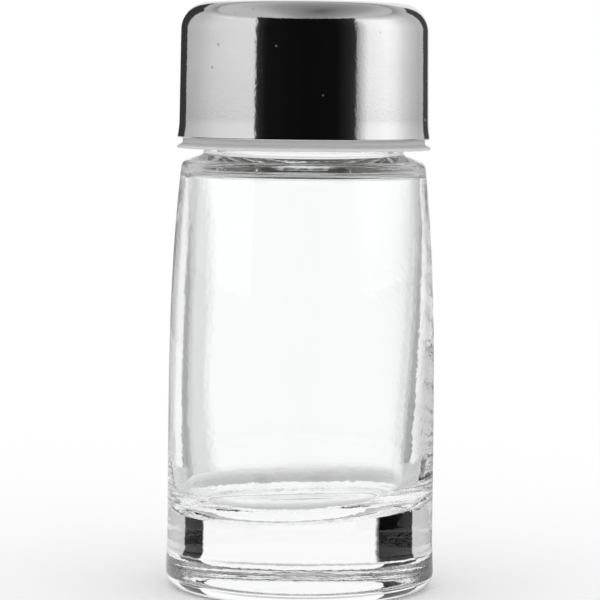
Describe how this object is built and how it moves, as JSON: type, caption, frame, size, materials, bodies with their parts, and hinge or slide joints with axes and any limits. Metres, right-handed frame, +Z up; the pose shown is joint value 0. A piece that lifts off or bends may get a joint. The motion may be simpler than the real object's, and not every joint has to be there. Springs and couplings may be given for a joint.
{
  "type": "salt shaker",
  "caption": "Clear glass table salt shaker: a heavy-bottomed round jar with a screw neck and a polished steel screw cap with sprinkle holes over a moulded plastic insert.",
  "frame": {"origin": "centre of the foot, on the surface that the jar stands on", "axes": "+Z up along the jar's axis towards the cap; the shaker is round about it, with +X to the right in the picture and -Y towards its camera"},
  "size_m": [0.035, 0.035, 0.0761],
  "materials": {
    "glass": "clear soda-lime glass, fire-polished",
    "seal": "soft foamed polyethylene wad",
    "insert": "natural moulded polypropylene, slightly translucent",
    "steel": "drawn stainless sheet, polished"
  },
  "bodies": {
    "jar": {"glass_jar": "glass"},
    "seal": {"sealing_ring": "seal"},
    "cap": {"cap_insert": "insert", "steel_cap": "steel"}
  },
  "joints": [
    {"name": "cap_lift", "type": "slide", "parent": "jar", "child": "seal", "axis": [0, 0, 1], "range_m": [0, 0.015]},
    {"name": "cap_turn", "type": "hinge", "parent": "seal", "child": "cap", "pos_m": [0, 0, 0.0706], "axis": [0, 0, 1], "range_deg": [0, 1800]}
  ],
  "couplings": [
    {"joint": "cap_lift", "follows": "cap_turn", "m_per_rad": 0.00047746}
  ]
}
